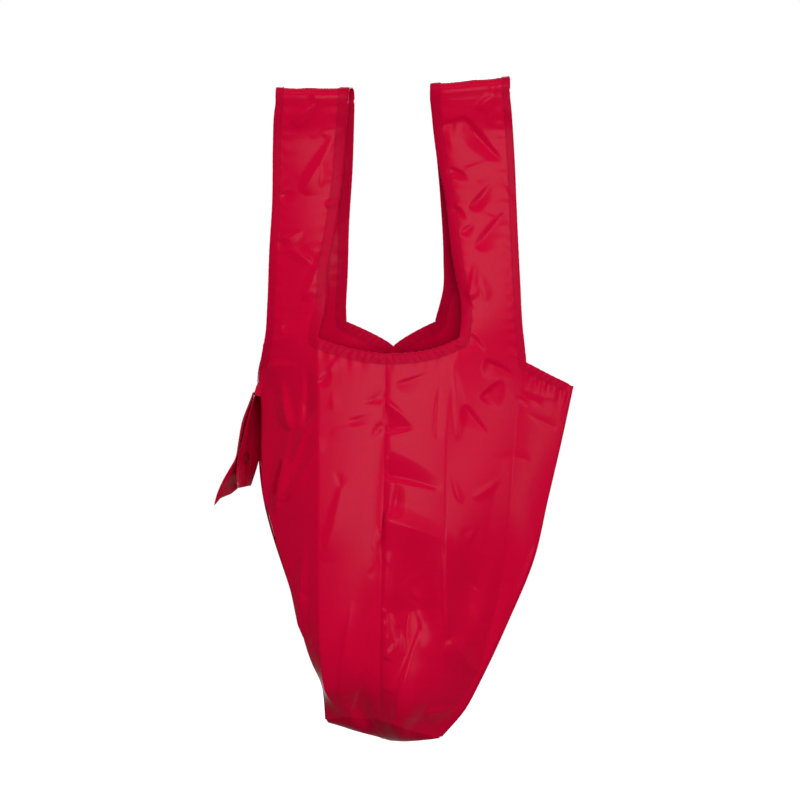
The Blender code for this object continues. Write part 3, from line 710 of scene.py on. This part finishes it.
def fold_piece(name, fold, cell):
    """Cloth over the top of a handle."""
    a = np.linspace(0, 1, round(70 / cell) + 1)[None, :]
    b = np.concatenate([[-FOLD_LAP / FOLD_LENGTH], np.linspace(0, 1, 33)])[:, None]
    place, normal = fold.surface(a, b)
    points = place + normal * FOLD_PROUD
    u, over = np.broadcast_arrays(a * 70, b * FOLD_LENGTH)
    uv = np.stack([u, over], axis=-1).reshape(-1, 2)
    faces = grid_faces(points.shape[0], points.shape[1], 0, fold.left)
    item = piece(name, points.reshape(-1, 3), faces, uv, [RED])
    thicken(item, CLOTH)
    return item


def grains(place, along, normal):
    """Points and faces of short stitches lying on a surface."""
    side = unit(np.cross(normal, along))
    ends = along * STITCH_LENGTH / 2
    sides = side * STITCH_WIDTH / 2
    up = normal * STITCH_WIDTH / 2
    corners = [place - ends, place + sides, place + ends, place - sides, place + up, place - up]
    points = np.stack(corners, axis=1)
    faces = []
    for i in range(len(place)):
        o = 6 * i
        for j in range(4):
            faces.append([o + j, o + (j + 1) % 4, o + 4])
            faces.append([o + (j + 1) % 4, o + j, o + 5])
    return points.reshape(-1, 3), faces


def at_run(at, s, values):
    """Values of a line at given distances along it."""
    return np.stack([np.interp(at, s, values[:, i]) for i in range(3)], axis=-1)


def along_line(points, pitch, start=1.5):
    """Places and directions at an even pitch along a line of points, and the distances along it."""
    s = run_of(points)
    at = np.arange(start, s[-1] - start, pitch)
    way = unit(at_run(at + 0.5, s, points) - at_run(at - 0.5, s, points))
    return at_run(at, s, points), way, at, s


def stitch_row(points, normals, lift):
    """Stitches along a line of points on a surface."""
    where, way, at, s = along_line(points, STITCH_PITCH)
    normal = unit(at_run(at, s, normals))
    return grains(where + normal * lift, way, normal)


def rim(surface, a, b, steps, inward, width):
    """Places of the tape's inner edge, a tape width inside the edge of the cloth."""
    da, db = steps
    la = np.linalg.norm(surface(a + da, b)[0] - surface(a - da, b)[0], axis=-1) / (2 * da)
    lb = np.linalg.norm(surface(a, b + db)[0] - surface(a, b - db)[0], axis=-1) / (2 * db)
    way = np.stack([np.gradient(a) * la, np.gradient(b) * lb], axis=-1)
    side = unit(inward * np.stack([-way[:, 1], way[:, 0]], axis=-1))
    for _ in range(3):
        padded = np.concatenate([side[:1], side, side[-1:]])
        side = unit(padded[:-2] + padded[1:-1] + padded[2:])
    move_a = side[:, 0] * width / la
    move_b = side[:, 1] * width / lb
    for _ in range(3):
        gap = np.linalg.norm(surface(a + move_a, b + move_b)[0] - surface(a, b)[0], axis=-1)
        share = np.clip(width / gap, 0.5, 2)
        move_a = move_a * share
        move_b = move_b * share
    return a + move_a, b + move_b


# Share of the tape's width at each point of its section, from its inner edge to the fold
SHARES = (1.0, 0.85, 0.6, 0.35, 0.12)
FOLD_TURNS = (0.2, 0.5, 0.8)
GATHER_PITCH = 6.4


def tape(name, surface, a, b, steps, inward, width, gather, seed):
    """Tape folded over an edge of the cloth, gathered and stitched through."""
    a2, b2 = rim(surface, a, b, steps, inward, width)
    edge, edge_normal = surface(a, b)
    inside, _ = surface(a + (a2 - a) * 0.3, b + (b2 - b) * 0.3)
    outwards = unit(edge - inside)
    s = run_of(edge)
    gather = gather * smooth(0, 8, s) * smooth(0, 8, s[-1] - s)
    front, back, lines = [], [], {}
    for share in SHARES:
        place, normal = surface(a + (a2 - a) * share, b + (b2 - b) * share)
        wave = np.sin(uneven(s + 5.0 * share, GATHER_PITCH, seed))
        puff = gather * (0.5 + 0.5 * wave) * math.sin(math.pi * min(1.0, 0.25 + 0.75 * share) ** 0.8)
        held = 0.35 if share == 0.85 else 1.0
        lift = CLOTH / 2 + TAPE + TAPE_GAP + np.clip(puff, 0, None) * held
        front.append((place, normal, lift))
        back.append((place, -normal, lift))
        lines[share] = (place, normal, lift)
    bend = CLOTH / 2 + TAPE + 0.15 + gather * 0.3 * (1 + np.sin(uneven(s, GATHER_PITCH, seed)))
    outer, inner = [], []
    for place, normal, lift in front:
        outer.append(place + normal * lift[:, None])
        inner.append(place + normal * (lift - TAPE)[:, None])
    for turn in FOLD_TURNS:
        way = edge_normal * math.cos(turn * math.pi) + outwards * math.sin(turn * math.pi)
        outer.append(edge + way * bend[:, None])
        inner.append(edge + way * (bend - TAPE)[:, None])
    for place, normal, lift in reversed(back):
        outer.append(place + normal * lift[:, None])
        inner.append(place + normal * (lift - TAPE)[:, None])
    section = np.stack(outer + inner[::-1], axis=1)
    rows, columns = section.shape[:2]
    points = section.reshape(-1, 3)
    flip = inward * surface_sign(surface) < 0
    faces = tube_faces(rows, columns, flip)
    half = columns // 2
    for c in range(half - 1):
        for r, turned in ((0, flip), (rows - 1, not flip)):
            o = r * columns
            quad = [o + c, o + columns - 1 - c, o + columns - 2 - c, o + c + 1]
            faces.append(quad[::-1] if turned else quad)
    uv = grid_map(s, run_of(section[0]))
    place, normal, lift = lines[0.85]
    cloth_faces = len(faces)
    for sign in (1, -1):
        more, stitches = stitch_row(place + sign * normal * lift[:, None], sign * normal, 0.05)
        faces += [[i + len(points) for i in f] for f in stitches]
        points = np.concatenate([points, more])
        uv = np.concatenate([uv, np.zeros((len(more), 2))])
    stitched = range(cloth_faces, len(faces))
    item = piece(name, points, faces, uv, [BINDING_AND_BASE_SHADE, THREAD], stitched)
    return item, s[-1]


def surface_sign(surface):
    """Hand of a surface's two directions against its outward side."""
    owner = surface.__self__
    if isinstance(owner, Fold):
        return 1 if owner.left else -1
    return -owner.facing


def cloth_on(item, body, node_name):
    """Cloth piece that rides on one body and stands for one CAD node."""
    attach(item, body)
    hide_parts(node_name)


def bend_at_hinge(item):
    """Bakes a cloth piece's placement into its mesh."""
    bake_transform(item)


SIDES = (("left", True), ("right", False))
FACES = (("front", FRONT, 1.55), ("back", BACK, 3.0))


def build_cloth():
    """Four quarters of the body with their legs, and the two folds over the handles."""
    for side, left in SIDES:
        for where, face, cell in FACES:
            item = quarter(f"{where}_{side}_cloth", face, left, cell)
            leg = f"{side}_handle_{where}"
            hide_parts(f"{where}_panel_{side}", leg)
            bend_at_hinge(item)
        fold = Fold(left)
        item = fold_piece(f"{side}_top_cloth", fold, 2.2)
        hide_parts(f"{side}_handle_top")
        bend_top(item)


def bend_top(item):
    """Bakes a fold piece's placement into its mesh."""
    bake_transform(item)


def spaced(start, end, step):
    """Evenly spaced values, both ends included."""
    return np.linspace(start, end, max(2, round(abs(end - start) / step) + 1))


def build_tapes():
    """Bindings: each runs from the top of a leg down to a side seam or to the middle of the neck."""
    for where, face, _ in FACES:
        for side, left in SIDES:
            build_leg_tapes(where, face, side, left)
    for side, left in SIDES:
        fold = Fold(left)
        for edge, a, inward, width in (("outer", 0.0, -1, OUTER_TAPE), ("inner", 1.0, 1, INNER_TAPE)):
            b = np.concatenate([[-FOLD_LAP / FOLD_LENGTH], np.linspace(0, 0.97, 32)])
            item, length = tape(
                f"{side}_top_{edge}_tape", fold.surface, a + 0 * b, b, (0.02, 0.01), inward, width, 0.1, 5.0,
            )
            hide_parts(f"{side}_handle_top_{edge}_binding")
            bend_top(item)


# How far the neck binding puffs up: gathered in front, nearly smooth behind
NECK_GATHER = {"front": 1.0, "back": 0.3}


def build_leg_tapes(where, face, side, left):
    """Binding of one leg's outer edge and armhole, and of its inner edge and half of the neck."""
    outer, inner, seam = (1.0, 2.0, 0.06) if left else (5.0, 4.0, 5.94)
    hand = 1 if left else -1
    leg = f"{side}_handle_{where}"
    puffed = NECK_GATHER[where]
    runs = (
        ("side", outer, seam, 40, hand, OUTER_TAPE, SIDE_TAPE, 0.35, f"{side}_{where}_side_binding", "outer"),
        ("neck", inner, 3.0, 52, -hand, INNER_TAPE, NECK_TAPE, puffed, f"{where}_neck_binding", "inner"),
    )
    for name, start, end, count, inward, leg_width, low_width, gather, node_name, edge in runs:
        turn = float(face.top(np.array(start)))
        down = spaced(float(head(np.array(start))), turn, 2.6)[:-1]
        across = np.linspace(start, end, count)
        u = np.concatenate([np.full(len(down), start), across])
        level = np.concatenate([down, face.top(across)])
        low = smooth(turn + 25, turn, level)
        width = leg_width + (low_width - leg_width) * low
        puff = 0.18 + (gather - 0.18) * low
        item, length = tape(
            f"{leg}_{name}_tape", face.surface, u, level, (0.02, 1.0), inward, width, puff, start,
        )
        nodes = [f"{leg}_{edge}_binding"]
        if left or name == "side":
            nodes.append(node_name)
        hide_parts(*nodes)
        bend_at_hinge(item)


def swept(name, sections, materials):
    """Closed mesh swept through sections of equal count."""
    sections = np.asarray(sections)
    rows, columns = sections.shape[:2]
    faces = tube_faces(rows, columns)
    faces.append(list(range(columns))[::-1])
    faces.append([(rows - 1) * columns + c for c in range(columns)])
    uv = grid_map(run_of(sections[:, 0]), run_of(sections[0]))
    return piece(name, sections.reshape(-1, 3), faces, uv, materials)


def strip(face, left, right, level, lift, thickness):
    """Sections of a flat strip lying on a face between two columns."""
    rows = []
    columns = np.linspace(left, right, 5)
    for u in columns:
        rows.append(face.surface(u + 0 * level, level))
    top = [p + n * (lift + thickness) for p, n in rows]
    bottom = [p + n * lift for p, n in rows]
    return np.stack(top + bottom[::-1], axis=1)


# Felled allowance of the centre seams: its columns, its lift and its thickness
FELL_COLUMNS = (2.85, 2.995)
FELL_LIFT = CLOTH / 2 - 0.1
FELL_THICKNESS = 0.25


def build_seams():
    """Felled centre seams, side seams and the base with its seam."""
    for where, face, _ in FACES:
        level = spaced(face.dip - 6, FLOOR + 1, 4)
        sections = strip(face, *FELL_COLUMNS, level, FELL_LIFT, FELL_THICKNESS)
        item = swept(f"{where}_centre_seam_cloth", sections, [RED])
        cloth_on(item, "bag_body", f"{where}_centre_seam")
    for side, u in (("left", 0.0), ("right", 6.0)):
        level = spaced(TIP, FLOOR + 1, 4)
        place, normal = FRONT.surface(u + 0 * level, level)
        out = np.array([-1.0 if u < 3 else 1.0, 0, 0]) + 0 * place
        ahead = np.array([0, 1.0, 0]) + 0 * place
        ring = [(-0.6, 0.7), (1.4, 0.5), (1.9, 0), (1.4, -0.5), (-0.6, -0.7)]
        sections = np.stack([place + out * o + ahead * y for o, y in ring], axis=1)
        item = swept(f"{side}_side_seam_cloth", sections, [BINDING_AND_BASE_SHADE])
        cloth_on(item, "bag_body", f"{side}_side_seam")
    build_base()


# Base: place of its seam, and rows and columns of each half
BASE_SEAM_SHARE = 0.47
BASE_ROWS = 15
BASE_COLUMNS = 36


def base_place(t, s):
    """Place on the base, t from left to right and s from front to back."""
    u = 6 * t
    front = FRONT.surface(u, np.full_like(u, FLOOR))[0]
    back = BACK.surface(u, np.full_like(u, FLOOR))[0]
    middle = front + (back - front) * s[..., None]
    early = 1 - (1 - s) ** 3
    middle[..., 2] += (back - front)[..., 2] * (early - s)
    sag = 4 * s * (1 - s) * (4 * t * (1 - t))
    middle[..., 2] -= 1.0 * sag + 0.5 * np.sin(9 * t + 5 * s) * sag
    return middle


def build_base():
    """Two halves of the base, in the darker binding red as painted shade of the underside, and the seam
    between them.
    """
    for side, start, end in (("left", 0.0, BASE_SEAM_SHARE), ("right", BASE_SEAM_SHARE, 1.0)):
        t = np.linspace(start, end, BASE_COLUMNS)[None, :] + np.zeros((BASE_ROWS, 1))
        s = np.linspace(0, 1, BASE_ROWS)[:, None] + 0 * t
        points = base_place(t, s)
        uv = np.stack([t * 110, s * 40], axis=-1).reshape(-1, 2)
        faces = grid_faces(BASE_ROWS, BASE_COLUMNS)
        # The base halves are coloured with the darker binding red: painted shade on the underside, which
        # faces down.
        item = piece(f"base_{side}_cloth", points.reshape(-1, 3), faces, uv, [BINDING_AND_BASE_SHADE])
        thicken(item, CLOTH)
        cloth_on(item, "bag_body", f"base_panel_{side}")
    s = np.linspace(0, 1, BASE_ROWS)
    t = np.full_like(s, BASE_SEAM_SHARE)
    middle = base_place(t, s)
    ring = [(-1.0, -0.3), (1.0, -0.3), (1.0, 0.5), (-1.0, 0.5)]
    shifts = [np.array([x, 0, z]) for x, z in ring]
    item = swept("base_seam_cloth", np.stack([middle + d for d in shifts], axis=1), [BINDING_AND_BASE_SHADE])
    cloth_on(item, "bag_body", "base_seam")


# Closure band: front and back edges as seen (level, x, depth), and its middle at the snap
OUTER_FRONT = [
    (-283, -125, -3), (-291, -127.8, -3), (-303, -131.5, -3), (-316, -135.2, -3),
    (-331, -138.5, -2.5), (-346, -142.5, -2.7), (-352, -146, -2.7), (-365.5, -153.7, -3),
    (-378.5, -159.2, -3), (-388, -161.5, -3),
]
OUTER_BACK = [
    (-283, -124, 39), (-291, -125.5, 39), (-303, -128, 39), (-316, -130, 38.7),
    (-331, -129.5, 38.5), (-340, -127.5, 38.5), (-352, -131.5, 38.7),
    (-360, -134.8, 39), (-369.7, -137.8, 39),
]
OUTER_MIDDLE = [
    (-283, -124.8, 18), (-291, -127.3, 18), (-316, -133.5, 18), (-331, -135, 18), (-346, -135.6, 18.4),
    (-356, -139, 18.4), (-368, -146, 18.3), (-379, -150.5, 18.2),
]
INNER_FRONT = [
    (-283, -122.8, -3), (-291, -125.2, -3), (-316, -132, -3), (-331, -136, -2.5), (-346.8, -139.8, -3),
    (-355, -140.5, -3.2), (-365, -140.5, -3.5), (-372, -140, -3.6),
]
INNER_BACK = [
    (-283, -120, 39), (-291, -119.5, 39), (-316, -119, 38.7), (-331, -118.5, 38.5), (-341, -119.2, 38.4),
    (-355, -122.7, 38.5), (-369.7, -127.7, 38.7),
]
INNER_MIDDLE = [
    (-283, -122.4, 18), (-291, -124.2, 18), (-316, -130, 17.8), (-331, -132, 17.6), (-346, -133.1, 17.6),
    (-358, -133.4, 17.6), (-371, -134, 17.6),
]
BAND_HALF = 22
BAND_TURN = math.radians(20)
BAND_ROOT_TURN = 0.2


def down_line(knots, t):
    """World places at shares t of the way down an edge of the band."""
    level = knots[0][0] + (knots[-1][0] - knots[0][0]) * t
    place = through(knots, level)
    return seen(place[:, 0], level, place[:, 1])


def band(name, front, middle, back):
    """Hemmed closure band between two edges, flat where the snap sits."""
    t = np.linspace(0, 1, 60)
    lines = [down_line(knots, t) for knots in (front, middle, back)]
    turn = BAND_TURN * (BAND_ROOT_TURN + (1 - BAND_ROOT_TURN) * smooth(0, 0.3, t))
    flat = BAND_HALF * np.stack([np.sin(turn), np.cos(turn), 0 * turn], axis=-1)
    across = np.linspace(-1, 1, 25)
    rows = []
    for v in across:
        edge = lines[0] if v < 0 else lines[2]
        sign = -1 if v < 0 else 1
        rows.append(lines[1] + flat * v + (edge - lines[1] - sign * flat) * abs(v) ** 3)
    sheet = np.stack(rows, axis=1)
    down = np.gradient(sheet, axis=0)
    over = np.gradient(sheet, axis=1)
    normal = unit(np.cross(over, down))
    rim_share = np.abs(across)[None, :]
    hem = 0.3 + 0.55 * smooth(0.74, 0.8, rim_share) * (1 - 0.6 * smooth(0.95, 1.0, rim_share))
    end_hem = 0.5 * smooth(0.93, 0.95, t)[:, None] * (1 - 0.7 * smooth(0.985, 1.0, t)[:, None])
    half = (np.maximum(hem, 0.3 + end_hem) / 2)[..., None]
    section = np.concatenate([sheet + normal * half, (sheet - normal * half)[:, ::-1]], axis=1)
    return swept(name, section, [BAND])


def build_closure():
    """Anchor tab and the two bands that snap together."""
    y = np.linspace(3, 33, 13)
    ring = [
        (-115, -283), (-116.5, -277), (-119, -273.5), (-121.3, -274.5), (-123.3, -279.5), (-125, -285.5),
        (-119.5, -287),
    ]
    sections = np.stack([np.stack([x + 0 * y, y, z + 0 * y], axis=-1) for x, z in ring], axis=1)
    item = swept("closure_anchor_cloth", sections, [BINDING_AND_BASE_SHADE])
    cloth_on(item, "bag_body", "closure_anchor")
    outer = band("closure_outer_cloth", OUTER_FRONT, OUTER_MIDDLE, OUTER_BACK)
    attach(outer, "closure_outer")
    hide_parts("closure_outer_band")
    inner = band("closure_inner_cloth", INNER_FRONT, INNER_MIDDLE, INNER_BACK)
    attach(inner, "closure_inner")
    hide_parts("closure_inner_band")
    for name in ("snap_cap", "snap_socket", "snap_stud", "snap_back_ring"):
        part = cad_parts[name]
        part.data.materials.clear()
        part.data.materials.append(SNAP)


# Studio: white world, pale floor and five softboxes

# Softboxes: azimuth to the right of the camera, elevation, width and height in metres, radiance
SOFTBOXES = (
    ("key", 6, 6, 1.0, 0.8, 12.4),
    ("side", 37, 3, 0.36, 0.8, 13.0),
    ("fill", -50, 55, 1.6, 1.6, 1.6),
    ("top", 0, 52, 1.2, 1.2, 1.6),
    ("back", 172, 8, 1.4, 1.1, 6.0),
)
SOFTBOX_DISTANCE = 2300
AMBIENT = 0.36
FLOOR_HEIGHT = -850
FLOOR_GLOW = 0.95


def white_rays(tree):
    """1 for the rays that see white surroundings: camera, glossy and transmission."""
    rays = node(tree, "ShaderNodeLightPath")
    white = mixed(tree, rays.outputs["Is Camera Ray"], rays.outputs["Is Glossy Ray"], "MAXIMUM")
    return mixed(tree, white, rays.outputs["Is Transmission Ray"], "MAXIMUM")


def build_studio():
    """White surroundings, pale floor and soft light."""
    scene = bpy.context.scene
    world = bpy.data.worlds.new("studio")
    scene.world = world
    world.use_nodes = True
    tree = world.node_tree
    ground = tree.nodes["Background"]
    ground.inputs["Color"].default_value = (1, 1, 1, 1)
    strength = mixed(tree, mixed(tree, white_rays(tree), 1 - AMBIENT, "MULTIPLY"), AMBIENT, "ADD")
    tree.links.new(strength, ground.inputs["Strength"])
    build_floor()
    for name, azimuth, elevation, width, height, radiance in SOFTBOXES:
        area_light(name, azimuth, elevation, width, height, radiance)


def aimed(item, way, distance):
    """Puts a light or camera at a distance from the middle of the bag, looking at it."""
    item.location = (Vector(TARGET) + way * distance) * MM
    item.rotation_euler = (-way).to_track_quat("-Z", "Y").to_euler()
    bpy.context.scene.collection.objects.link(item)


def area_light(name, azimuth, elevation, width, height, radiance):
    """Softbox aimed at the middle of the bag."""
    light = bpy.data.lights.new(name, "AREA")
    light.shape = "RECTANGLE"
    light.size = width
    light.size_y = height
    light.energy = radiance * math.pi * width * height
    item = bpy.data.objects.new(name, light)
    turn, rise = math.radians(azimuth), math.radians(elevation)
    way = Vector((math.sin(turn) * math.cos(rise), -math.cos(turn) * math.cos(rise), math.sin(rise)))
    aimed(item, way, SOFTBOX_DISTANCE)


def build_floor():
    """Pale floor well below the bag, white to the camera where nothing shades it."""
    material, tree, body = shader("floor")
    body.inputs["Base Color"].default_value = (0.15, 0.15, 0.15, 1)
    body.inputs["Roughness"].default_value = 0.9
    body.inputs["Specular IOR Level"].default_value = 0.0
    glow = node(tree, "ShaderNodeEmission")
    tree.links.new(mixed(tree, white_rays(tree), FLOOR_GLOW, "MULTIPLY"), glow.inputs["Strength"])
    both = node(tree, "ShaderNodeAddShader")
    tree.links.new(body.outputs["BSDF"], both.inputs[0])
    tree.links.new(glow.outputs["Emission"], both.inputs[1])
    tree.links.new(both.outputs["Shader"], tree.nodes["Material Output"].inputs["Surface"])
    bpy.ops.mesh.primitive_plane_add(size=60, location=(0, 0, FLOOR_HEIGHT * MM))
    floor = bpy.context.object
    floor.name = "floor"
    floor.data.materials.append(material)


def build_camera():
    """Camera at the angle of the photograph."""
    data = bpy.data.cameras.new("photo camera")
    data.sensor_width = 36
    data.lens = 36 * DISTANCE / FIELD
    data.clip_end = 100
    item = bpy.data.objects.new("photo camera", data)
    way = Vector((0, -math.cos(ELEVATION), math.sin(ELEVATION)))
    aimed(item, way, DISTANCE)
    scene = bpy.context.scene
    scene.camera = item
    scene.view_settings.view_transform = "Standard"


build_cloth()
build_tapes()
build_seams()
build_closure()
build_studio()
build_camera()
